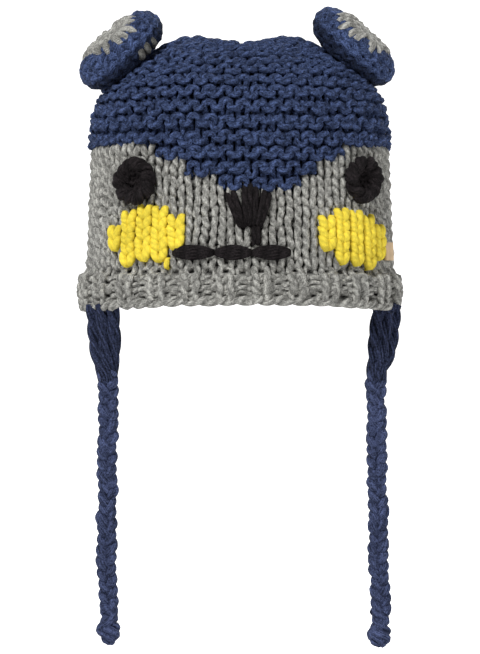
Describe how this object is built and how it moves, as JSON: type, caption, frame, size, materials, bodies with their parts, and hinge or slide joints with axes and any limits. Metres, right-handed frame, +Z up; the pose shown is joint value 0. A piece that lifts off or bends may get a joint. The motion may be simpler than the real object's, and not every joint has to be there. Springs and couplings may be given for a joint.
{
  "type": "knitted beanie",
  "caption": "Child's chunky knitted beanie with a ribbed brim, a plain animal face, crocheted ears on the top corners and braided ties hanging from the sides.",
  "frame": {"origin": "the centre of the head opening, level with the brim's lowest edge, where a head goes in", "axes": "+Z up through the crown, +X to the viewer's right looking at the face, the face looks along -Y"},
  "size_m": [0.1796, 0.1542, 0.3499],
  "materials": {
    "grey_wool": "soft bulky wool, plain knit, rib and crochet",
    "navy_wool": "soft bulky wool, garter stitch, crochet and braid",
    "black_wool": "black wool, crochet and satin stitch",
    "yellow_wool": "bright yellow wool, darned over the knit",
    "tan_tab": "bare tan leather"
  },
  "bodies": {
    "root": {"rib_brim": "grey_wool", "face_band": "grey_wool", "crown": "navy_wool", "ear_left": "navy_wool", "ear_right": "navy_wool", "ear_centre_left": "grey_wool", "ear_centre_right": "grey_wool", "eye_left": "black_wool", "eye_right": "black_wool", "cheek_left": "yellow_wool", "cheek_right": "yellow_wool", "nose": "black_wool", "nose_stem": "black_wool", "mouth_left": "black_wool", "mouth_middle": "black_wool", "mouth_right": "black_wool", "tie_root_left": "navy_wool", "tie_root_right": "navy_wool", "tie_left": "navy_wool", "tie_right": "navy_wool", "tie_knot_left": "navy_wool", "tie_knot_right": "navy_wool", "side_tab": "tan_tab"}
  },
  "joints": []
}
